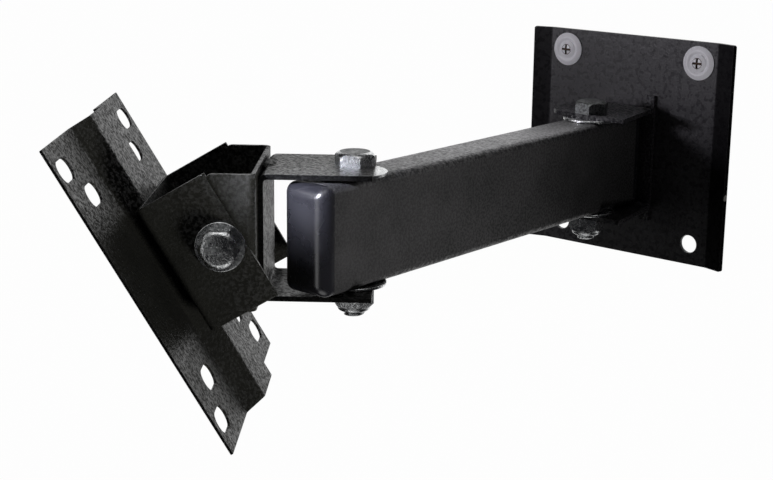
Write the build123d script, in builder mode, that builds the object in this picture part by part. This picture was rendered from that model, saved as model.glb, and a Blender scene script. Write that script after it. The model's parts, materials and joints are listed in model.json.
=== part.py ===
# Wall mount for a small flat screen: a wall plate, one box-section arm and a head that turns and tilts.
# Sizes are millimetres. The origin is the centre of the wall plate's back face, X runs to the right
# along the wall, Y runs into the wall and Z is up, so the arm reaches out towards -Y.
import os
from math import cos, pi

from build123d import *

# Sheet and fits
plate_sheet = 2.0         # wall plate
bracket_sheet = 1.9       # wall bracket and yoke bracket, which carry the upright pivots
channel_sheet = 1.5       # yoke channel and tilt bracket
screen_sheet = 1.0        # screen plate
inside_bend = 1.4         # inside radius of every fold
running_fit = 0.1         # play round a shank that something turns on
thread_fit = 0.05         # play left where a thread would be
side_play = 0.2           # between two folded sheets that slide past each other

# Wall plate and its fixings
plate_height = 99.6
panel_width = 85.8        # flat part, from bend to bend
flare_width = 8.9         # each side strip, measured along the wall
flare_rise = 2.65         # how far the edge of a strip stands off the wall
plate_corner = 1.0
wall_hole_radius = 4.0
wall_hole_side = 9.15     # hole centre to the nearest bend
wall_hole_end = 9.3       # hole centre to the nearest end of the plate
cup_radius = 7.5
cup_crest_radius = 5.3
cup_height = 1.6
cup_sheet = 0.5
screw_shank_radius = 2.4
screw_neck_radius = 2.0
screw_neck_reach = 1.0    # neck of the screw behind the plate
screw_head_radius = 3.9
screw_head_rim = 0.4
screw_head_rise = 1.1     # dome above the rim of the head
screw_length = 28.0
screw_tip = 6.0
cross_arm = 2.3
cross_width = 0.95
cross_depth = 1.5

# Wall bracket
pivot_reach = 31.5        # panel face to the wall pivot
arm_drop = 4.3            # arm centre line below the middle of the plate
bracket_left = 20.8
bracket_right = 20.1
bracket_root = 13.7       # right edge where it meets the panel
bracket_nose = 6.0        # sheet in front of the pivot
bracket_nose_round = 12.0
ear_width = 4.6
ear_rise = 5.2

# Arm
arm_length = 156.4        # between the two upright pivots
tube_height = 40.0
tube_width = 20.0
tube_corner = 3.0
tube_wall = 1.5
tube_overhang = 21.9      # tube beyond each pivot
cap_reach = 6.1
cap_round = 4.8
cap_fit = 0.1
plug_depth = 9.0
plug_wall = 1.8
sleeve_radius = 6.5

# Bolts, lock nuts and washers of the three pivots
bolt_radius = 4.0
bolt_flats = 13.0
bolt_end = 2.0            # bolt beyond its nut
bolt_point = 0.6          # chamfer at the tip of a bolt
head_height = 5.3
head_flat = 4.7           # radius of the flat middle of a head
head_fall = 1.9           # rounded fall from there to the corners
nut_height = 8.0
nut_hexagon = 5.3         # hexagon part of a lock nut's height
collar_radius = 6.05
collar_round = 1.1
ring_lip = 0.4
ring_wall = 0.8
washer_thick = 1.2
pivot_washer_radius = 12.0
tilt_washer_radius = 9.0
wall_head_turn = -5.0     # how far each hexagon happens to be turned, degrees
wall_nut_turn = 20.0
swivel_head_turn = 18.0
swivel_nut_turn = -22.0
tilt_head_turn = 29.5
tilt_nut_turn = 10.0

# Yoke
head_turn = -51.9         # the head's turn about the swivel at rest, degrees
yoke_reach = 33.05        # swivel axis to the welded face between yoke bracket and channel
yoke_width = 55.0
yoke_height = 49.4
yoke_tab_half = 19.0
yoke_tab_tail = 7.2       # tab behind the swivel axis
yoke_nose = 5.6           # flange in front of the tilt axis
yoke_nose_round = 3.0

# Tilt bracket and screen plate
head_tilt = 30.5          # the screen's tilt at rest, degrees
tilt_reach = 12.05        # back of the yoke channel's web to the tilt axis
tilt_drop = 0.6
bracket_height = 50.0
bracket_tail = 8.5        # flange behind the tilt axis
bracket_depth = 17.9      # tilt axis to the inside of the bracket's web
screen_height = 120.0
screen_width = 120.6
screen_lift = 0.7
crown_half = 12.0
crown_rise = 6.5
slope_half = 20.5
vesa_small = 75.0
vesa_large = 100.0
vesa_slot_length = 14.4   # along the plate's width
vesa_slot_width = 8.0

# Worked-out sizes
panel_half = panel_width / 2
edge_half = panel_half + flare_width
wall_hole_across = panel_width - 2 * wall_hole_side
wall_hole_apart = plate_height - 2 * wall_hole_end
washer_top = tube_height / 2 + washer_thick
tab_top = washer_top + bracket_sheet
turning_radius = bolt_radius + running_fit
thread_bore = bolt_radius + thread_fit
bolt_corner = bolt_flats / 2 / cos(pi / 6)
ring_radius = collar_radius - ring_wall
crown_back = -(bracket_depth + channel_sheet)
flange_back = crown_back - crown_rise
bracket_half = yoke_width / 2 + side_play + channel_sheet
tube_span = arm_length + 2 * tube_overhang

# Frames of the bodies at rest
wall_frame = Plane.XY
arm_frame = Plane((0, -(plate_sheet + pivot_reach), -arm_drop))
swivel_frame = Plane(arm_frame.location * Location((0, -arm_length, 0), (0, 0, head_turn)))
tilt_place = Location((0, -(yoke_reach + tilt_reach), -tilt_drop), (head_tilt, 0, 0))
tilt_frame = Plane(swivel_frame.location * tilt_place)

os.makedirs("parts", exist_ok=True)


def flat_at(frame, height):
    # level sketch plane of a frame: x runs right, y runs back, facing up
    return Plane(frame.from_local_coords((0, 0, height)), frame.x_dir, frame.z_dir)


def side_at(frame, across):
    # upright sketch plane of a frame: x runs back, y runs up, facing right
    return Plane(frame.from_local_coords((across, 0, 0)), frame.y_dir, frame.x_dir)


def front_at(frame, depth):
    # upright sketch plane of a frame: x runs right, y runs up, facing the room
    return Plane(frame.from_local_coords((0, depth, 0)), frame.x_dir, -frame.y_dir)


def flipped(plane):
    # the same plane facing the other way
    return Plane(plane.origin, plane.x_dir, -plane.z_dir)


def folded(outer, sheet, side, bend=inside_bend):
    # closed section of a sheet whose outer skin follows the given line
    with BuildSketch() as section:
        with BuildLine():
            FilletPolyline(*outer, radius=bend + sheet)
            offset(amount=sheet, side=side)
        make_face()
    return section.sketch


def finish(piece, label):
    piece.part.label = label
    export_step(piece.part, f"parts/{label}.step")


# Wall plate: a flat panel whose long edges lean away from the wall
with BuildPart() as wall_plate:
    with BuildSketch(flat_at(wall_frame, -plate_height / 2)):
        add(folded(((-edge_half, -flare_rise), (-panel_half, 0), (panel_half, 0), (edge_half, -flare_rise)),
                   plate_sheet, Side.RIGHT))
    extrude(amount=plate_height)
    side_faces = wall_plate.faces().sort_by(Axis.X)
    end_corners = (side_faces[0].edges() + side_faces[-1].edges()).filter_by(Axis.Z, reverse=True)
    fillet(end_corners, radius=plate_corner)
    with Locations(front_at(wall_frame, -plate_sheet)):
        with GridLocations(wall_hole_across, wall_hole_apart, 2, 2):
            Hole(wall_hole_radius)
finish(wall_plate, "wall_plate")

# Cup washers and raised-head screws in the two upper holes
cup_foot = screw_shank_radius + cup_sheet
cup_slope = cup_height / (cup_crest_radius - cup_foot)
neck_foot = plate_sheet + screw_neck_reach
head_foot = cup_slope * (screw_neck_radius - cup_foot) + thread_fit
head_rim = cup_slope * (screw_head_radius - cup_foot) + thread_fit
head_crown = head_rim + screw_head_rim + screw_head_rise
for side, name in ((-1, "left"), (1, "right")):
    hole_centre = (side * wall_hole_across / 2, -plate_sheet, wall_hole_apart / 2)
    seat = front_at(Plane(hole_centre), 0)
    screw_axis = Axis(seat.origin, seat.z_dir)
    with BuildPart() as cup:
        with BuildSketch(side_at(seat, 0)):
            add(folded(((cup_radius, cup_sheet), (cup_crest_radius, cup_height), (cup_foot, 0)),
                       cup_sheet, Side.LEFT, bend=cup_sheet))
        revolve(axis=screw_axis)
    finish(cup, f"cup_washer_{name}")

    with BuildPart() as screw:
        with BuildSketch(side_at(seat, 0)):
            with BuildLine():
                Polyline((0, head_crown), (0, -screw_length), (screw_shank_radius, screw_tip - screw_length),
                         (screw_shank_radius, -neck_foot), (screw_neck_radius, -neck_foot),
                         (screw_neck_radius, head_foot), (screw_head_radius, head_rim),
                         (screw_head_radius, head_rim + screw_head_rim))
                TangentArc((0, head_crown), (screw_head_radius, head_rim + screw_head_rim), tangent=(1, 0))
            make_face()
        revolve(axis=screw_axis)
        with BuildSketch(seat.offset(head_crown)):
            Rectangle(2 * cross_arm, cross_width)
            Rectangle(cross_width, 2 * cross_arm)
        extrude(amount=-cross_depth, mode=Mode.SUBTRACT)
    finish(screw, f"wall_screw_{name}")

# Wall bracket: one folded sheet, its web welded to the panel and a tab above and below the arm
with BuildPart() as wall_bracket:
    with BuildSketch(side_at(arm_frame, -bracket_left)):
        add(folded(((-bracket_nose, tab_top), (pivot_reach, tab_top), (pivot_reach, -tab_top),
                    (-bracket_nose, -tab_top)), bracket_sheet, Side.RIGHT))
    extrude(amount=bracket_left + bracket_right)
    with BuildSketch(flat_at(arm_frame, -tab_top)) as tab_outline:
        with BuildLine():
            Polyline((-bracket_left, -bracket_nose), (bracket_right, -bracket_nose),
                     (bracket_root, pivot_reach), (-bracket_left, pivot_reach), close=True)
        make_face()
        fillet(tab_outline.vertices().group_by(Axis.Y)[0].sort_by(Axis.X)[0], radius=bracket_nose_round)
    extrude(amount=2 * tab_top, mode=Mode.INTERSECT)
    with BuildSketch(front_at(arm_frame, pivot_reach)):
        with Locations((bracket_root - ear_width / 2, 0)):
            Rectangle(ear_width, 2 * (tab_top + ear_rise))
    extrude(amount=bracket_sheet)
    with Locations(flat_at(arm_frame, tab_top)):
        Hole(turning_radius)
finish(wall_bracket, "wall_bracket")

# Arm: a box-section tube with a bolt hole near each end
tube_back = front_at(arm_frame, tube_overhang)
with BuildPart() as arm_tube:
    with BuildSketch(tube_back):
        RectangleRounded(tube_width, tube_height, tube_corner)
        RectangleRounded(tube_width - 2 * tube_wall, tube_height - 2 * tube_wall, tube_corner - tube_wall,
                         mode=Mode.SUBTRACT)
    extrude(amount=tube_span)
    with Locations(flat_at(arm_frame, tube_height / 2)):
        with Locations((0, 0), (0, -arm_length)):
            Hole(turning_radius)
finish(arm_tube, "arm_tube")

# Arm end caps: a rounded nose flush with the tube and a hollow plug pushed inside it
plug_width = tube_width - 2 * (tube_wall + cap_fit)
plug_height = tube_height - 2 * (tube_wall + cap_fit)
for name, seam in (("rear", flipped(tube_back)), ("front", tube_back.offset(tube_span))):
    with BuildPart() as cap:
        with BuildSketch(seam):
            RectangleRounded(tube_width, tube_height, tube_corner)
        nose = extrude(amount=cap_reach)
        fillet(nose.faces().sort_by(Axis(seam.origin, seam.z_dir))[-1].edges(), radius=cap_round)
        with BuildSketch(seam):
            RectangleRounded(plug_width, plug_height, tube_corner - tube_wall)
            Rectangle(plug_width - 2 * plug_wall, plug_height - 2 * plug_wall, mode=Mode.SUBTRACT)
        extrude(amount=-plug_depth)
    finish(cap, f"arm_cap_{name}")

# Crush sleeves: keep the tube's walls apart where a pivot bolt clamps them
for name, reach in (("rear", 0), ("front", arm_length)):
    with BuildPart() as sleeve:
        with BuildSketch(flat_at(arm_frame, tube_wall - tube_height / 2)):
            with Locations((0, -reach)):
                Circle(sleeve_radius)
                Circle(turning_radius, mode=Mode.SUBTRACT)
        extrude(amount=tube_height - 2 * tube_wall)
    finish(sleeve, f"arm_sleeve_{name}")


def fastening(name, head_seat, head_angle, grip, nut_angle):
    # bolt through everything between its head and its lock nut, and the nylon ring in that nut
    pivot_axis = Axis(head_seat.origin, head_seat.z_dir)
    with BuildPart() as bolt:
        with BuildSketch(head_seat):
            RegularPolygon(bolt_corner, 6, rotation=head_angle)
        extrude(amount=head_height)
        with BuildSketch(side_at(head_seat, 0)):
            with BuildLine():
                Polyline((head_flat, head_height), (0, head_height), (0, 0), (bolt_corner, 0),
                         (bolt_corner, head_height - head_fall))
                TangentArc((head_flat, head_height), (bolt_corner, head_height - head_fall), tangent=(1, 0))
            make_face()
        revolve(axis=pivot_axis, mode=Mode.INTERSECT)
        with BuildSketch(head_seat):
            Circle(bolt_radius)
        extrude(amount=-(grip + nut_height + bolt_end))
        chamfer(bolt.edges().sort_by(pivot_axis)[0], length=bolt_point)
    finish(bolt, f"{name}_bolt")

    nut_seat = flipped(head_seat.offset(-grip))
    with BuildPart() as nut:
        with BuildSketch(nut_seat):
            RegularPolygon(bolt_corner, 6, rotation=nut_angle)
        extrude(amount=nut_height)
        with BuildSketch(side_at(nut_seat, 0)):
            with BuildLine():
                Polyline((0, nut_height), (0, 0), (bolt_corner, 0), (bolt_corner, nut_hexagon),
                         (collar_radius, nut_hexagon + bolt_corner - collar_radius),
                         (collar_radius, nut_height - collar_round))
                RadiusArc((collar_radius, nut_height - collar_round),
                          (collar_radius - collar_round, nut_height), -collar_round)
                Line((collar_radius - collar_round, nut_height), (0, nut_height))
            make_face()
        revolve(axis=pivot_axis, mode=Mode.INTERSECT)
        with Locations(nut_seat):
            Hole(thread_bore)
        with BuildSketch(nut_seat.offset(nut_height - ring_lip)):
            Circle(ring_radius)
        extrude(amount=-(nut_height - nut_hexagon - ring_lip), mode=Mode.SUBTRACT)
    finish(nut, f"{name}_nut")

    with BuildPart() as ring:
        with BuildSketch(nut_seat.offset(nut_height - ring_lip)):
            Circle(ring_radius)
            Circle(thread_bore, mode=Mode.SUBTRACT)
        extrude(amount=-(nut_height - nut_hexagon - ring_lip))
    finish(ring, f"{name}_nut_ring")


def washer(name, seat, outer):
    with BuildPart() as disc:
        with BuildSketch(seat):
            Circle(outer)
            Circle(thread_bore, mode=Mode.SUBTRACT)
        extrude(amount=washer_thick)
    finish(disc, name)


# Upright pivots: a bolt down through tab, washer, tube and sleeve, with a lock nut underneath
for name, frame, head_angle, nut_angle in (("wall_pivot", arm_frame, wall_head_turn, wall_nut_turn),
                                           ("swivel", swivel_frame, swivel_head_turn, swivel_nut_turn)):
    fastening(name, flat_at(frame, tab_top), head_angle, 2 * tab_top, nut_angle)
    washer(f"{name}_washer_upper", flat_at(frame, tube_height / 2), pivot_washer_radius)
    washer(f"{name}_washer_lower", flat_at(frame, -washer_top), pivot_washer_radius)

# Yoke bracket: one folded sheet like the wall bracket, with a tab above and below the arm
web_back = -yoke_reach
with BuildPart() as yoke_bracket:
    with BuildSketch(side_at(swivel_frame, -yoke_tab_half)):
        add(folded(((yoke_tab_tail, tab_top), (web_back, tab_top), (web_back, -tab_top),
                    (yoke_tab_tail, -tab_top)), bracket_sheet, Side.LEFT))
    extrude(amount=2 * yoke_tab_half)
    with Locations(flat_at(swivel_frame, tab_top)):
        Hole(turning_radius)
finish(yoke_bracket, "yoke_bracket")

# Yoke: a channel open to the front, its web welded to the yoke bracket
yoke_front = -(yoke_reach + tilt_reach + yoke_nose)
yoke_half = yoke_width / 2
with BuildPart() as yoke:
    with BuildSketch(flat_at(swivel_frame, -yoke_height / 2)):
        add(folded(((-yoke_half, yoke_front), (-yoke_half, web_back), (yoke_half, web_back),
                    (yoke_half, yoke_front)), channel_sheet, Side.RIGHT))
    extrude(amount=yoke_height)
    nose_edges = yoke.edges().filter_by(Axis((0, 0, 0), swivel_frame.x_dir))
    fillet(nose_edges.group_by(Axis((0, 0, 0), -swivel_frame.y_dir))[-1], radius=yoke_nose_round)
    with BuildSketch(side_at(swivel_frame, 0)):
        with Locations((-(yoke_reach + tilt_reach), -tilt_drop)):
            Circle(turning_radius)
    extrude(amount=yoke_half, both=True, mode=Mode.SUBTRACT)
finish(yoke, "yoke")

# Tilt bracket: a channel over the yoke's flanges, its web welded to the crown of the screen plate
with BuildPart() as tilt_bracket:
    with BuildSketch(flat_at(tilt_frame, -bracket_height / 2)):
        add(folded(((-bracket_half, bracket_tail), (-bracket_half, crown_back), (bracket_half, crown_back),
                    (bracket_half, bracket_tail)), channel_sheet, Side.LEFT))
    extrude(amount=bracket_height)
    with BuildSketch(side_at(tilt_frame, 0)):
        Circle(turning_radius)
    extrude(amount=bracket_half, both=True, mode=Mode.SUBTRACT)
finish(tilt_bracket, "tilt_bracket")

# Screen plate: a hat section with level slots for both hole patterns
screen_half = screen_width / 2
with BuildPart() as screen_plate:
    with BuildSketch(flat_at(tilt_frame, screen_lift - screen_height / 2)):
        add(folded(((-screen_half, flange_back), (-slope_half, flange_back), (-crown_half, crown_back),
                    (crown_half, crown_back), (slope_half, flange_back), (screen_half, flange_back)),
                   screen_sheet, Side.RIGHT))
    extrude(amount=screen_height)
    with BuildSketch(front_at(tilt_frame, flange_back)):
        with Locations((0, screen_lift)):
            with GridLocations(vesa_small, vesa_small, 2, 2):
                SlotOverall(vesa_slot_length, vesa_slot_width)
            with GridLocations(vesa_large, vesa_large, 2, 2):
                SlotOverall(vesa_slot_length, vesa_slot_width)
    extrude(amount=screen_sheet, mode=Mode.SUBTRACT)
finish(screen_plate, "screen_plate")

# Tilt pivot: a bolt across both channels from the near side, with a washer at each end
near_face = side_at(tilt_frame, bracket_half)
far_face = flipped(side_at(tilt_frame, -bracket_half))
tilt_grip = 2 * (bracket_half + washer_thick)
fastening("tilt", near_face.offset(washer_thick), tilt_head_turn, tilt_grip, tilt_nut_turn)
washer("tilt_washer_near", near_face, tilt_washer_radius)
washer("tilt_washer_far", far_face, tilt_washer_radius)
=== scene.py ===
import json
import math

import bmesh
import bpy
import numpy as np
from mathutils import Matrix, Vector

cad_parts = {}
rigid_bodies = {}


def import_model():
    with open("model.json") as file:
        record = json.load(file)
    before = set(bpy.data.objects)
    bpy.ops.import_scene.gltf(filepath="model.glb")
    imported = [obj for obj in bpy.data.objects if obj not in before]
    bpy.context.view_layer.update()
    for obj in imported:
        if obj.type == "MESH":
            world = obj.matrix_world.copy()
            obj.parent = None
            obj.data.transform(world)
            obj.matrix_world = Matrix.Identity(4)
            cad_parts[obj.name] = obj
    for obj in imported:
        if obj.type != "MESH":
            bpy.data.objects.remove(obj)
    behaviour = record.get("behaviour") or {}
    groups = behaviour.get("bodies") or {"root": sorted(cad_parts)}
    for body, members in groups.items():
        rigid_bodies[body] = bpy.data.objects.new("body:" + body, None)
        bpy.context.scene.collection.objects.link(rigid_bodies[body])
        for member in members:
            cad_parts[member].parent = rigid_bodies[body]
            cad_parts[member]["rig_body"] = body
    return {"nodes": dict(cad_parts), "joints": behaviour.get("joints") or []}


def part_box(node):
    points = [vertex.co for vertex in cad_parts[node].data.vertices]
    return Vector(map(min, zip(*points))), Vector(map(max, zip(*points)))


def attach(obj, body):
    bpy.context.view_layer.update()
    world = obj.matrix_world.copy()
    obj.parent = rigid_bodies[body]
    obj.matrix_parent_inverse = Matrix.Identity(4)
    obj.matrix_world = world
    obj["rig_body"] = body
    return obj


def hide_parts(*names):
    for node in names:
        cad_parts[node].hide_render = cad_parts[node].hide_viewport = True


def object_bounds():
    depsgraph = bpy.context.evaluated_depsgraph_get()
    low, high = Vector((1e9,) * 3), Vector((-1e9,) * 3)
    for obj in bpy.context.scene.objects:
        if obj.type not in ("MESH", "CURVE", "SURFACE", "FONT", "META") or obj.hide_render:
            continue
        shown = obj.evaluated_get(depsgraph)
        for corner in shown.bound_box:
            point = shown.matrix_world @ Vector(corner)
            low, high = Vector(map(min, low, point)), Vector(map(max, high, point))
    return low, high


# Wall mount for a small screen: coats, plating, threads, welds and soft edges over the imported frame.
# Lengths are in metres: x runs right along the wall, y into the wall and z up.
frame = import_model()
cadLow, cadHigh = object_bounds()   # the CAD box, which places the floor
print("frame loaded:", len(frame["nodes"]), "nodes")

# Joints and directions that the pieces are placed by
joints = {joint["name"]: joint for joint in frame["joints"]}
tiltAxis = Vector(joints["head_tilt"]["axis"])          # level, across the head
tiltPoint = Vector(joints["head_tilt"]["pos_m"])
swivelPoint = Vector(joints["head_swivel"]["pos_m"])
upward = Vector((0, 0, 1))
intoWall = Vector((0, 1, 0))
backward = upward.cross(tiltAxis)                       # level, from the screen towards the arm

# Camera at the photograph's viewing angle
cameraSetup = {
    "focalPixels": 1563.35,   # focal length in pixels of the photograph
    "imageWidth": 773,
    "sensorWidth": 36.0,      # millimetres
    "clipStart": 0.01,
    "yaw": 39.82,             # degrees left of straight at the wall
    "pitch": 14.32,           # degrees down
    "roll": 0.69,             # degrees
    "place": (0.36322, -0.60716, 0.13225),
}


def makeCamera(setup):
    yaw, pitch, roll = (math.radians(setup[key]) for key in ("yaw", "pitch", "roll"))
    ahead = Vector((-math.sin(yaw) * math.cos(pitch), math.cos(yaw) * math.cos(pitch), -math.sin(pitch)))
    level = ahead.cross(upward).normalized()
    upright = level.cross(ahead)
    right = level * math.cos(roll) + upright * math.sin(roll)
    up = upright * math.cos(roll) - level * math.sin(roll)
    lens = bpy.data.cameras.new("photoCamera")
    lens.sensor_width = setup["sensorWidth"]
    lens.lens = setup["focalPixels"] / setup["imageWidth"] * setup["sensorWidth"]
    lens.clip_start = setup["clipStart"]
    camera = bpy.data.objects.new("photoCamera", lens)
    turn = Matrix((right, up, -ahead)).transposed().to_4x4()
    camera.matrix_world = Matrix.Translation(setup["place"]) @ turn
    bpy.context.scene.collection.objects.link(camera)
    bpy.context.scene.camera = camera


makeCamera(cameraSetup)
bpy.context.scene.view_settings.view_transform = "Standard"
print("camera placed")


# Node helpers, used by every finish below
def addNode(tree, kind, **values):
    # a value sets the node's own property of that name, or else the input
    node = tree.nodes.new(kind)
    for key, value in values.items():
        if hasattr(node, key):
            setattr(node, key, value)
        else:
            node.inputs[key].default_value = value
    return node


def addNoise(tree, scale, detail, rough):
    # noise on Object coordinates, scale in grains per metre
    place = addNode(tree, "ShaderNodeTexCoord")
    noise = addNode(tree, "ShaderNodeTexNoise", Scale=scale, Detail=detail, Roughness=rough)
    tree.links.new(place.outputs["Object"], noise.inputs["Vector"])
    return noise.outputs["Fac"]


def addRange(tree, value, fromLow, fromHigh, toLow, toHigh):
    # runs from toLow to toHigh as the value runs from fromLow to fromHigh, and stays within them
    remap = addNode(tree, "ShaderNodeMapRange")
    ends = {"From Min": fromLow, "From Max": fromHigh, "To Min": toLow, "To Max": toHigh}
    for key, number in ends.items():
        remap.inputs[key].default_value = number
    tree.links.new(value, remap.inputs["Value"])
    return remap.outputs["Result"]


def addMath(tree, operation, *values):
    sums = addNode(tree, "ShaderNodeMath", operation=operation)
    for socket, value in zip(sums.inputs, values):
        if isinstance(value, bpy.types.NodeSocket):
            tree.links.new(value, socket)
        else:
            socket.default_value = value
    return sums.outputs["Value"]


def addMix(tree, share, first, second):
    mix = addNode(tree, "ShaderNodeMix", data_type="RGBA")
    tree.links.new(share, mix.inputs["Factor"])
    for key, value in (("A", first), ("B", second)):
        socket = next(s for s in mix.inputs if s.name == key and s.type == "RGBA")
        if isinstance(value, bpy.types.NodeSocket):
            tree.links.new(value, socket)
        else:
            socket.default_value = (*value, 1.0)
    return next(s for s in mix.outputs if s.type == "RGBA")


def addBump(tree, height, depth, before=None):
    bump = addNode(tree, "ShaderNodeBump", Strength=1.0, Distance=depth)
    tree.links.new(height, bump.inputs["Height"])
    if before is not None:
        tree.links.new(before, bump.inputs["Normal"])
    return bump.outputs["Normal"]


def newFinish(name):
    material = bpy.data.materials.new(name)
    material.use_nodes = True
    return material, material.node_tree, material.node_tree.nodes["Principled BSDF"]


# Floor: wide, pale and well below the mount, white to the camera. It is left out of reflections, where it
# would hide the lower part of the surround.
floorSetup = {
    "drop": 0.42,             # below the lowest point of the mount
    "half": 9.0,
    "colour": (0.45, 0.45, 0.45),
    "rough": 0.8,
    "glow": 0.985,            # share of plain white that the camera sees
}


def makeFloor(setup):
    level = cadLow.z - setup["drop"]
    middle = (cadLow + cadHigh) / 2
    sides = ((-1, -1), (1, -1), (1, 1), (-1, 1))
    corners = [(middle.x + x * setup["half"], middle.y + y * setup["half"], level) for x, y in sides]
    mesh = bpy.data.meshes.new("floor")
    mesh.from_pydata(corners, [], [(0, 1, 2, 3)])
    floor = bpy.data.objects.new("floor", mesh)
    floor.visible_glossy = False
    bpy.context.scene.collection.objects.link(floor)
    material, tree, shader = newFinish("paleFloor")
    shader.inputs["Base Color"].default_value = (*setup["colour"], 1.0)
    shader.inputs["Roughness"].default_value = setup["rough"]
    shader.inputs["Specular IOR Level"].default_value = 0.0
    rays = addNode(tree, "ShaderNodeLightPath")
    glow = addNode(tree, "ShaderNodeEmission", Strength=1.0)
    blend = addNode(tree, "ShaderNodeMixShader")
    share = addMath(tree, "MULTIPLY", rays.outputs["Is Camera Ray"], setup["glow"])
    tree.links.new(share, blend.inputs["Fac"])
    tree.links.new(shader.outputs["BSDF"], blend.inputs[1])
    tree.links.new(glow.outputs["Emission"], blend.inputs[2])
    tree.links.new(blend.outputs["Shader"], tree.nodes["Material Output"].inputs["Surface"])
    mesh.materials.append(material)


# Surround: white behind the mount, and in the reflections a dim room with soft white patches
surroundSetup = {
    "white": (1.0, 1.0, 1.0),
    "room": (0.012, 0.012, 0.013),
    "ambient": 0.06,          # how much of it lights the mount
    # a patch brightens from edge to core, cosines of the angle from its middle
    "patches": [
        {"middle": (-0.35, 0.93, 0.0), "edge": 0.50, "core": 0.85, "white": 1.0},
        {"middle": (-0.57, -0.78, 0.26), "edge": 0.895, "core": 0.94, "white": 1.0},
        {"middle": (-0.05, -0.97, -0.22), "edge": 0.955, "core": 0.98, "white": 1.0},
        {"middle": (0.25, -0.40, 0.88), "edge": 0.80, "core": 0.92, "white": 1.0},
        {"middle": (0.25, -0.42, -0.87), "edge": 0.86, "core": 0.95, "white": 0.9},
    ],
}


def makeSurround(setup):
    world = bpy.data.worlds.new("studio")
    world.use_nodes = True
    tree = world.node_tree
    backdrop = tree.nodes["Background"]
    place = addNode(tree, "ShaderNodeTexCoord")
    rays = addNode(tree, "ShaderNodeLightPath")
    whiteShare = rays.outputs["Is Camera Ray"]
    seen = addMath(tree, "ADD", rays.outputs["Is Camera Ray"], rays.outputs["Is Glossy Ray"])
    seen = addMath(tree, "ADD", seen, rays.outputs["Is Transmission Ray"])
    for patch in setup["patches"]:
        facing = addNode(tree, "ShaderNodeVectorMath", operation="DOT_PRODUCT")
        facing.inputs[1].default_value = Vector(patch["middle"]).normalized()
        tree.links.new(place.outputs["Generated"], facing.inputs[0])
        closeness = facing.outputs["Value"]
        white = addRange(tree, closeness, patch["edge"], patch["core"], 0.0, patch["white"])
        whiteShare = addMath(tree, "MAXIMUM", whiteShare, white)
    tree.links.new(addMix(tree, whiteShare, setup["room"], setup["white"]), backdrop.inputs["Color"])
    tree.links.new(addRange(tree, seen, 0.0, 1.0, setup["ambient"], 1.0), backdrop.inputs["Strength"])
    bpy.context.scene.world = world


makeFloor(floorSetup)
makeSurround(surroundSetup)
print("stage set")

# Lamps: one with a cone is a spot and the others are disks, and one without glint shows in no reflection
lampSetup = {
    # past the head, on to the wall plate's upper part
    "key": {"place": (-0.50, -1.32, 0.29), "aim": (-0.012, -0.02, 0.135), "size": 0.30, "watts": 54.0,
            "cone": 11.6, "blend": 0.5, "colour": (1.0, 0.97, 1.06), "glint": True},
    # narrow beam on the front cap
    "card": {"place": (-0.01, -1.10, 0.46), "aim": (0.0, -0.20, 0.006), "size": 0.02, "watts": 0.013,
             "spread": 2.2, "colour": (0.95, 0.97, 1.10), "glint": True},
    # from low on the right, for the head
    "low": {"place": (0.60, -0.20, -0.36), "aim": (0.0, -0.225, 0.04), "size": 0.20, "watts": 0.18,
            "spread": 32, "colour": (1.0, 0.99, 0.96), "glint": False},
    # on the top of the arm
    "over": {"place": (-0.30, -0.02, 0.42), "aim": (0.0, -0.11, 0.016), "size": 0.04, "watts": 39.0,
             "cone": 17.0, "blend": 0.8, "colour": (1.0, 1.0, 1.0), "glint": False},
}


def makeLamps(setup):
    for name, lamp in setup.items():
        if "cone" in lamp:
            light = bpy.data.lights.new(name + "Lamp", "SPOT")
            light.shadow_soft_size = lamp["size"] / 2
            light.spot_size = math.radians(lamp["cone"])
            light.spot_blend = lamp["blend"]
        else:
            light = bpy.data.lights.new(name + "Lamp", "AREA")
            light.shape = "DISK"
            light.size = lamp["size"]
            light.spread = math.radians(lamp["spread"])
        light.energy = lamp["watts"]
        light.color = lamp["colour"]
        body = bpy.data.objects.new(name + "Lamp", light)
        body.visible_glossy = lamp["glint"]
        body.location = lamp["place"]
        towards = Vector(lamp["aim"]) - Vector(lamp["place"])
        body.rotation_euler = towards.to_track_quat("-Z", "Y").to_euler()
        bpy.context.scene.collection.objects.link(body)


makeLamps(lampSetup)
print("lamps placed")

# Stretches of a noise over which a colour runs from dark to pale, and roughness from low to high
colourSpan = (0.35, 0.65)
roughSpan = (0.3, 0.7)

# Powder coat: soft blotches under an orange peel, with a fine grain that glints where light grazes it.
# Each noise has a scale in grains per metre, and its detail and roughness.
coatBase = {
    "dark": (0.030, 0.030, 0.031),
    "pale": (0.046, 0.045, 0.047),
    "blotchScale": 40.0,
    "blotchNoise": (4.0, 0.6),
    "grainScale": 1000.0,
    "grainNoise": (2.0, 0.6),
    "grainDepth": 0.00022,
    "peelScale": 420.0,
    "peelNoise": (2.0, 0.5),
    "peelDepth": 0.00006,
    "roughLow": 0.30,
    "roughHigh": 0.52,
    "glossSpan": (0.45, 0.57),
    "glossLow": 0.02,
    "glossHigh": 1.0,
    "paintedShadeFrom": 1.0,         # distance off the middle, along x, where painted shade starts to darken the coat and its gloss
    "paintedShadeTo": 2.0,
    "paintedShadeDepth": 0.0,
    "chip": None,             # a spot where the coat has chipped
}
plateChip = {
    "place": (0.0519, -0.0036, -0.0165),
    "size": 0.0015,
    "core": 0.7,              # share of its size that is fully bare
    "ragged": 0.0004,         # how far its edge wanders
    "colour": (0.95, 0.93, 0.90),
}
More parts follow.
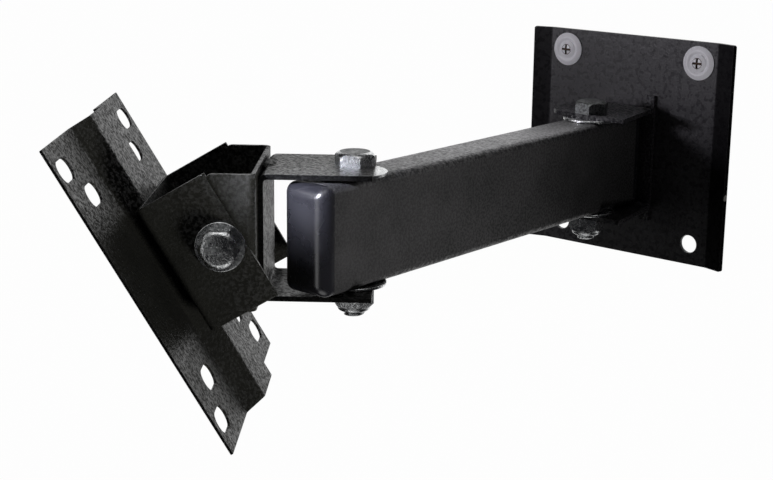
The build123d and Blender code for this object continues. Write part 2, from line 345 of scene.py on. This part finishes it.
coats = {
    # the wall plate's side strips, from 42.4 mm off the middle outwards, are darkened in colour and gloss
    # by painted shade
    "plateCoat": {"dark": (0.0255, 0.0240, 0.0275), "pale": (0.0285, 0.0270, 0.0305),
                  "grainDepth": 0.00005, "peelDepth": 0.00003, "roughLow": 0.22, "roughHigh": 0.38,
                  "glossLow": 0.32, "glossHigh": 0.46, "paintedShadeFrom": 0.0424, "paintedShadeTo": 0.0434,
                  "paintedShadeDepth": 0.6, "chip": plateChip},
    "bracketCoat": {"dark": (0.024, 0.023, 0.026), "pale": (0.034, 0.033, 0.037), "grainDepth": 0.00008,
                    "glossHigh": 0.6},
    # painted shade: near-black for the cut edges on the side nearer the camera
    "paintedEdgeShade": {"dark": (0.003, 0.003, 0.003), "pale": (0.006, 0.006, 0.006), "glossHigh": 0.2},
    "armCoat": {"grainScale": 760.0, "grainDepth": 0.0003, "glossLow": 0.06},
    "sideCoat": {"grainDepth": 0.00006, "peelDepth": 0.00003, "glossHigh": 0.5},
    "headCoat": {"dark": (0.018, 0.018, 0.016), "pale": (0.026, 0.026, 0.023), "grainScale": 800.0,
                 "glossLow": 0.05},
    "webCoat": {"dark": (0.018, 0.018, 0.016), "pale": (0.026, 0.026, 0.023), "grainScale": 800.0,
                "grainDepth": 0.0007},
}


def addPaintedShade(tree, look):
    # painted shade: 1 in the middle, falling by its depth along x towards both sides
    place = addNode(tree, "ShaderNodeTexCoord")
    split = addNode(tree, "ShaderNodeSeparateXYZ")
    tree.links.new(place.outputs["Object"], split.inputs["Vector"])
    across = addMath(tree, "ABSOLUTE", split.outputs["X"])
    return addRange(tree, across, look["paintedShadeFrom"], look["paintedShadeTo"], 1.0, 1.0 - look["paintedShadeDepth"])


def addChip(tree, chip, peel, coat):
    # bare where the distance from the chip's middle, made ragged by the peel, is less than its size
    place = addNode(tree, "ShaderNodeTexCoord")
    away = addNode(tree, "ShaderNodeVectorMath", operation="DISTANCE")
    away.inputs[1].default_value = chip["place"]
    tree.links.new(place.outputs["Object"], away.inputs[0])
    wander = addRange(tree, peel, *roughSpan, -chip["ragged"], chip["ragged"])
    distance = addMath(tree, "ADD", away.outputs["Value"], wander)
    bare = addRange(tree, distance, chip["size"], chip["size"] * chip["core"], 0.0, 1.0)
    return addMix(tree, bare, coat, chip["colour"])


def makeCoat(name, changes):
    look = {**coatBase, **changes}
    material, tree, shader = newFinish(name)
    grain = addNoise(tree, look["grainScale"], *look["grainNoise"])
    peel = addNoise(tree, look["peelScale"], *look["peelNoise"])
    blotch = addNoise(tree, look["blotchScale"], *look["blotchNoise"])
    # painted shade, which darkens both the colour and the gloss towards the sides
    paintedShade = addPaintedShade(tree, look)
    ground = addMix(tree, addRange(tree, blotch, *colourSpan, 0.0, 1.0), look["dark"], look["pale"])
    coat = addMix(tree, paintedShade, (0.0, 0.0, 0.0), ground)
    if look["chip"] is not None:
        coat = addChip(tree, look["chip"], peel, coat)
    tree.links.new(coat, shader.inputs["Base Color"])
    rough = addRange(tree, peel, *roughSpan, look["roughLow"], look["roughHigh"])
    tree.links.new(rough, shader.inputs["Roughness"])
    glint = addRange(tree, grain, *look["glossSpan"], look["glossLow"], look["glossHigh"])
    tree.links.new(addMath(tree, "MULTIPLY", glint, paintedShade), shader.inputs["Specular IOR Level"])
    relief = addBump(tree, peel, look["peelDepth"])
    tree.links.new(addBump(tree, grain, look["grainDepth"], before=relief), shader.inputs["Normal"])
    return material


# Plating: mottled zinc, dull zinc and bright nickel, with a dark brown that paints shade into the screws'
# cross recess
platingBase = {
    "dark": (0.42, 0.43, 0.44),
    "pale": (0.97, 0.98, 0.98),
    "metal": 1.0,
    "mottleScale": 1100.0,
    "mottleNoise": (3.0, 0.6),
    "mottleSpan": (0.34, 0.62),
    "mottleDepth": 0.00014,
    "scratchScale": 260.0,
    "scratchNoise": (2.0, 0.5),
    "scratchDepth": 0.00003,
    "roughLow": 0.18,
    "roughHigh": 0.34,
}
platings = {
    "zinc": {},
    "dullZinc": {"dark": (0.05, 0.05, 0.05), "pale": (0.24, 0.25, 0.25), "roughLow": 0.36,
                 "roughHigh": 0.55},
    "recess": {"dark": (0.035, 0.020, 0.012), "pale": (0.10, 0.055, 0.03), "metal": 0.0, "roughLow": 0.6,
               "roughHigh": 0.8},
    "bright": {"dark": (0.94, 0.94, 0.95), "pale": (0.98, 0.98, 0.99), "mottleDepth": 0.00002,
               "metal": 0.0, "roughLow": 0.3, "roughHigh": 0.42},
}


def makePlating(name, changes):
    look = {**platingBase, **changes}
    material, tree, shader = newFinish(name)
    mottle = addNoise(tree, look["mottleScale"], *look["mottleNoise"])
    scratch = addNoise(tree, look["scratchScale"], *look["scratchNoise"])
    share = addRange(tree, mottle, *look["mottleSpan"], 0.0, 1.0)
    tree.links.new(addMix(tree, share, look["dark"], look["pale"]), shader.inputs["Base Color"])
    rough = addRange(tree, scratch, *roughSpan, look["roughLow"], look["roughHigh"])
    tree.links.new(rough, shader.inputs["Roughness"])
    shader.inputs["Metallic"].default_value = look["metal"]
    relief = addBump(tree, scratch, look["scratchDepth"])
    tree.links.new(addBump(tree, mottle, look["mottleDepth"], before=relief), shader.inputs["Normal"])
    return material


# Moulded plastic: glossy cap and milky nylon
plastics = {
    "capPlastic": {"dark": (0.0105, 0.0105, 0.013), "pale": (0.0125, 0.0125, 0.0155), "hazeScale": 90.0,
                   "hazeNoise": (3.0, 0.5), "hazeDepth": 0.00006, "roughLow": 0.20, "roughHigh": 0.32,
                   "gloss": 1.0},
    "nylon": {"dark": (0.62, 0.63, 0.64), "pale": (0.75, 0.75, 0.74), "hazeScale": 500.0,
              "hazeNoise": (3.0, 0.5), "hazeDepth": 0.00003, "roughLow": 0.4, "roughHigh": 0.55,
              "gloss": 0.4},
}


def makePlastic(name, look):
    material, tree, shader = newFinish(name)
    haze = addNoise(tree, look["hazeScale"], *look["hazeNoise"])
    colour = addMix(tree, addRange(tree, haze, *colourSpan, 0.0, 1.0), look["dark"], look["pale"])
    tree.links.new(colour, shader.inputs["Base Color"])
    rough = addRange(tree, haze, *roughSpan, look["roughLow"], look["roughHigh"])
    tree.links.new(rough, shader.inputs["Roughness"])
    shader.inputs["Specular IOR Level"].default_value = look["gloss"]
    tree.links.new(addBump(tree, haze, look["hazeDepth"]), shader.inputs["Normal"])
    return material


finishes = {}
for make, looks in ((makeCoat, coats), (makePlating, platings), (makePlastic, plastics)):
    for name, look in looks.items():
        finishes[name] = make(name, look)
print("finishes made:", len(finishes))

# Merged copies of the CAD nodes, with a small round on every sharp edge
copySetup = {
    "mergeSize": 1e-6,
    "flatAngle": math.radians(0.5),
    "sharpAngle": math.radians(28),
    "segments": 2,
}


def pointsOf(mesh):
    # the mesh's points, rows of 3
    places = np.empty(len(mesh.vertices) * 3)
    mesh.vertices.foreach_get("co", places)
    return places.reshape(-1, 3)


def mergedMesh(nodeName, cut=None):
    # the node's loose triangles joined up, with flat stretches as single faces
    # cut is a point and a direction, and what lies beyond the point goes
    source = frame["nodes"][nodeName].data
    corners = np.empty(len(source.loops), dtype=np.int32)
    source.loops.foreach_get("vertex_index", corners)
    mesh = bpy.data.meshes.new(nodeName + "_dressed")
    mesh.from_pydata(pointsOf(source).tolist(), [], corners.reshape(-1, 3).tolist())
    work = bmesh.new()
    work.from_mesh(mesh)
    bmesh.ops.remove_doubles(work, verts=work.verts, dist=copySetup["mergeSize"])
    bmesh.ops.dissolve_limit(work, angle_limit=copySetup["flatAngle"], verts=work.verts,
                             edges=work.edges)
    if cut is not None:
        point, way = cut
        everything = work.verts[:] + work.edges[:] + work.faces[:]
        sliced = bmesh.ops.bisect_plane(work, geom=everything, plane_co=point, plane_no=way,
                                        clear_outer=True)
        rim = [part for part in sliced["geom_cut"] if isinstance(part, bmesh.types.BMEdge)]
        bmesh.ops.edgenet_fill(work, edges=rim)
    bmesh.ops.recalc_face_normals(work, faces=work.faces)
    work.to_mesh(mesh)
    work.free()
    mesh.shade_smooth()
    return mesh


def addPiece(name, mesh, body, finish, slotName, *nodeNames):
    piece = bpy.data.objects.new(name, mesh)
    bpy.context.scene.collection.objects.link(piece)
    mesh.materials.append(finishes[finish])
    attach(piece, body)
    if nodeNames:
        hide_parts(*nodeNames)
    return piece


def dressNode(nodeName, roundWidth, finish, slotName, cut=None):
    body = frame["nodes"][nodeName]["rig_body"]
    piece = addPiece(nodeName + "_dressed", mergedMesh(nodeName, cut), body, finish, slotName, nodeName)
    bevel = piece.modifiers.new("softEdge", "BEVEL")
    bevel.width = roundWidth
    bevel.segments = copySetup["segments"]
    bevel.limit_method = "ANGLE"
    bevel.angle_limit = copySetup["sharpAngle"]
    bevel.harden_normals = True
    return piece


def facesOf(mesh):
    # normals and middles of the faces, rows of 3
    normals = np.empty(len(mesh.polygons) * 3)
    middles = np.empty(len(mesh.polygons) * 3)
    mesh.polygons.foreach_get("normal", normals)
    mesh.polygons.foreach_get("center", middles)
    return normals.reshape(-1, 3), middles.reshape(-1, 3)


facingCosine = 0.98           # a face looks along a way if the cosine between them is over this


def coatFaces(nodeName, finish, way, point, beyond):
    # faces that look along way, and lie further that way from the point than beyond, take this finish
    mesh = bpy.data.objects[nodeName + "_dressed"].data
    mesh.materials.append(finishes[finish])
    normals, middles = facesOf(mesh)
    looking = normals @ np.array(way) > facingCosine
    past = (middles - np.array(point)) @ np.array(way) > beyond
    slots = np.empty(len(mesh.polygons), dtype=np.int32)
    mesh.polygons.foreach_get("material_index", slots)
    slots[looking & past] = len(mesh.materials) - 1
    mesh.polygons.foreach_set("material_index", slots)


# Folded sheets and tube, each in one coat, then the faces that have a finish of their own, among them
# near cut edges painted dark as shade
sheetRound = 0.00028
sheetCoats = {
    "wall_plate": "plateCoat",
    "wall_bracket": "bracketCoat",
    "arm_tube": "armCoat",
    "yoke": "headCoat",
    "yoke_bracket": "headCoat",
    "tilt_bracket": "headCoat",
    "screen_plate": "headCoat",
}
faceCoats = [
    # cut edges on the side nearer the camera, painted near-black as shade
    {"nodeName": "yoke_bracket", "finish": "paintedEdgeShade",
     "way": tiltAxis, "point": tiltPoint, "beyond": 0.0185},
    # back of the web, between the tabs
    {"nodeName": "yoke_bracket", "finish": "webCoat",
     "way": backward, "point": swivelPoint, "beyond": -0.032},
    # cut edge on the side nearer the camera, painted near-black as shade
    {"nodeName": "screen_plate", "finish": "paintedEdgeShade",
     "way": tiltAxis, "point": tiltPoint, "beyond": 0.0598},
    # right side
    {"nodeName": "arm_tube", "finish": "sideCoat",
     "way": (1, 0, 0), "point": (0, 0, 0), "beyond": 0.009},
]
for nodeName, finish in sheetCoats.items():
    dressNode(nodeName, sheetRound, finish, "black_steel")
for look in faceCoats:
    coatFaces(**look)

capRound = 0.0001
for nodeName in ("arm_cap_front", "arm_cap_rear"):
    dressNode(nodeName, capRound, "capPlastic", "cap_plastic")
print("sheets, tube and caps dressed")


# Threads: a surface of turn and height whose radius falls between the crests
def farEnd(nodeName, origin, axis):
    # how far the node reaches along an axis
    return ((pointsOf(frame["nodes"][nodeName].data) - np.array(origin)) @ np.array(axis)).max()


def closedTube(name, rings):
    # rings is rows by columns by 3; neighbouring rings are joined and each end closes on its middle
    rows, columns = rings.shape[:2]
    around = np.arange(columns)
    following = (around + 1) % columns
    rowStart = np.arange(rows - 1)[:, None] * columns
    first, second = rowStart + around, rowStart + following
    quads = np.stack([first, second, second + columns, first + columns], axis=-1).reshape(-1, 4)
    middles = np.stack([rings[0].mean(axis=0), rings[-1].mean(axis=0)])
    points = np.concatenate([rings.reshape(-1, 3), middles])
    startMiddle, endMiddle = np.full(columns, rows * columns), np.full(columns, rows * columns + 1)
    lastRow = (rows - 1) * columns
    startFan = np.stack([startMiddle, following, around], axis=-1)
    endFan = np.stack([endMiddle, lastRow + around, lastRow + following], axis=-1)
    mesh = bpy.data.meshes.new(name)
    mesh.from_pydata(points.tolist(), [], quads.tolist() + startFan.tolist() + endFan.tolist())
    work = bmesh.new()
    work.from_mesh(mesh)
    bmesh.ops.recalc_face_normals(work, faces=work.faces)
    work.to_mesh(mesh)
    work.free()
    mesh.shade_smooth()
    return mesh


deepestCut = 0.45             # a thread cuts away at most this share of its crest radius


def threadedRod(name, start, axis, length, envelope, look):
    # radius = envelope of height, less depth times a rounded wave of (height / pitch - turn / full turn)
    turn = np.linspace(0, 2 * np.pi, look["columns"], endpoint=False)
    height = np.linspace(0, length, int(length / look["pitch"] * look["rowsPerTurn"]) + 2)
    phase = height[:, None] / look["pitch"] - turn[None, :] / (2 * np.pi)
    ridge = (0.5 + 0.5 * np.cos(2 * np.pi * phase)) ** look["crestSharpness"]
    crest = envelope(height)[:, None]
    radius = crest - np.minimum(look["depth"], crest * deepestCut) * (1 - ridge)
    side = axis.orthogonal().normalized()
    other = axis.cross(side)
    circle = np.cos(turn)[:, None] * np.array(side) + np.sin(turn)[:, None] * np.array(other)
    along = height[:, None, None] * np.array(axis)
    rings = np.array(start) + along + radius[:, :, None] * circle[None, :, :]
    return closedTube(name, rings)


# Bolts: head and shank from the frame, with a cut thread where the shank leaves its nut
boltThread = {
    "radius": 0.004,
    "pitch": 0.00125,
    "depth": 0.00066,
    "crestSharpness": 0.8,
    "hold": 0.002,            # how far inside the nut the thread starts
    "point": 0.0006,          # length of the chamfer at its end
    "columns": 40,
    "rowsPerTurn": 12,
}
bolts = {
    "wall_pivot_bolt": {"nut": "wall_pivot_nut", "joint": "arm_swing", "axis": -upward, "round": 0.0004,
                        "finish": "dullZinc"},
    "swivel_bolt": {"nut": "swivel_nut", "joint": "head_swivel", "axis": -upward, "round": 0.0003,
                    "finish": "zinc"},
    "tilt_bolt": {"nut": "tilt_nut", "joint": "head_tilt", "axis": -tiltAxis, "round": 0.0012,
                  "finish": "zinc"},
}
swivelBoltTop = 0.0243        # the top of its head lies further than this above the arm's middle


def makeBolt(boltName, look, thread):
    pivot, axis = Vector(joints[look["joint"]]["pos_m"]), look["axis"]
    cutAt = farEnd(look["nut"], pivot, axis) - thread["hold"]
    length = farEnd(boltName, pivot, axis) - cutAt
    start = pivot + axis * cutAt
    dressNode(boltName, look["round"], look["finish"], "zinc_steel", cut=(start, axis))

    def envelope(height):
        # full radius, less the chamfer over the last stretch
        return thread["radius"] - np.clip(thread["point"] - (length - height), 0, None)

    mesh = threadedRod(boltName + "_thread", start, axis, length, envelope, thread)
    addPiece(boltName + "_thread", mesh, frame["nodes"][boltName]["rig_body"], "zinc", "zinc_steel")


for boltName, look in bolts.items():
    makeBolt(boltName, look, boltThread)
coatFaces("swivel_bolt", "dullZinc", upward, swivelPoint, swivelBoltTop)

# Nuts and washers
nutRound = 0.00018
washerRound = 0.0004
for nodeName in ("wall_pivot_nut", "swivel_nut", "tilt_nut"):
    dressNode(nodeName, nutRound, "zinc", "zinc_steel")
for nodeName in ("wall_pivot_washer_upper", "wall_pivot_washer_lower", "swivel_washer_upper",
                 "swivel_washer_lower", "tilt_washer_near", "tilt_washer_far"):
    dressNode(nodeName, washerRound, "zinc", "zinc_steel")
print("bolts, nuts and washers made")

# Wall screws: head from the frame with painted shade in the cross recess, and a coarse thread down to the
# point
screwLook = {
    "round": 0.0001,
    "recessRadius": 0.0024,
    "recessBelow": 0.0003,    # how far behind the front of the head the recess begins
    "threadFrom": 0.0015,
    "shankRadius": 0.0024,
    "tipRadius": 0.0002,
    "tipLength": 0.006,
    "pitch": 0.0024,
    "depth": 0.0008,
    "crestSharpness": 3.0,
    "columns": 40,
    "rowsPerTurn": 14,
}
cupWasherRound = 0.00012


def makeWallScrew(screwName, look):
    low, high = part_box(screwName)
    onAxis = Vector(((low.x + high.x) / 2, 0, (low.z + high.z) / 2))
    start = onAxis + intoWall * look["threadFrom"]
    length = high.y - look["threadFrom"]
    headMesh = dressNode(screwName, look["round"], "bright", "bright_fixing", cut=(start, intoWall)).data

    # faces near the axis and behind the front of the head are the recess, painted dark brown as shade
    headMesh.materials.append(finishes["recess"])
    middles = facesOf(headMesh)[1]
    nearAxis = np.hypot(middles[:, 0] - onAxis.x, middles[:, 2] - onAxis.z) < look["recessRadius"]
    inRecess = nearAxis & (middles[:, 1] > low.y + look["recessBelow"])
    headMesh.polygons.foreach_set("material_index", inRecess.astype(np.int32))

    def envelope(height):
        # full radius, running down to the tip's over the tip's length
        taper = np.clip((length - height) / look["tipLength"], 0, 1)
        return look["tipRadius"] + (look["shankRadius"] - look["tipRadius"]) * taper

    mesh = threadedRod(screwName + "_thread", start, intoWall, length, envelope, look)
    addPiece(screwName + "_thread", mesh, "wall_side", "bright", "bright_fixing")


for side in ("left", "right"):
    makeWallScrew("wall_screw_" + side, screwLook)
    dressNode("cup_washer_" + side, cupWasherRound, "bright", "bright_fixing")
print("wall screws made")

# Weld beads: a flattened tube on the fold between yoke bracket and channel, above and below
weldLook = {
    "from": 0.004,            # across the head, from the swivel's axis
    "to": -0.009,
    "forward": 0.0308,        # in front of the swivel's axis
    "above": 0.0223,          # off the arm's middle, up or down
    "halfWidth": 0.0029,
    "halfHeight": 0.0015,
    "ripplePitch": 0.0017,
    "rippleDepth": 0.12,
    "rippleLag": 0.25,        # how far a ripple bows, in ripples
    "endPower": 6,
    "endTrim": 0.0005,        # share left off each end, where the tube would shrink to nothing
    "rows": 90,
    "columns": 32,
}


def weldBead(name, look, side):
    # size at a share of the run = square root of 1 less (2 share - 1) to the end power, times 1 less the
    # ripple's depth where the ripple, a scalloped wave of run / pitch + lag, dips
    share = np.linspace(look["endTrim"], 1 - look["endTrim"], look["rows"])
    run = look["from"] + (look["to"] - look["from"]) * share
    swell = np.sqrt(1 - (2 * share - 1) ** look["endPower"])
    turn = np.linspace(0, 2 * np.pi, look["columns"], endpoint=False)
    lag = look["rippleLag"] * np.cos(turn)[None, :] ** 2
    ripple = np.abs(np.sin(np.pi * ((run / look["ripplePitch"])[:, None] + lag)))
    size = swell[:, None] * (1 - look["rippleDepth"] * (1 - ripple))
    level = side * (look["above"] + look["halfHeight"] * size * np.sin(turn)[None, :])
    reach = look["forward"] + look["halfWidth"] * size * np.cos(turn)[None, :]
    rings = (np.array(swivelPoint) + run[:, None, None] * np.array(tiltAxis)
             - reach[:, :, None] * np.array(backward) + level[:, :, None] * np.array(upward))
    addPiece(name, closedTube(name, rings), "yoke", "headCoat", "black_steel")


weldBead("weld_upper", weldLook, 1)
weldBead("weld_lower", weldLook, -1)
print("weld beads made")

# Inner pieces keep their CAD form
innerFinishes = {"wall_pivot_nut_ring": "nylon", "swivel_nut_ring": "nylon", "tilt_nut_ring": "nylon",
                 "arm_sleeve_rear": "zinc", "arm_sleeve_front": "zinc"}
for nodeName, finish in innerFinishes.items():
    materials = frame["nodes"][nodeName].data.materials
    materials.clear()
    materials.append(finishes[finish])
print("inner pieces finished")

print("mount dressed")
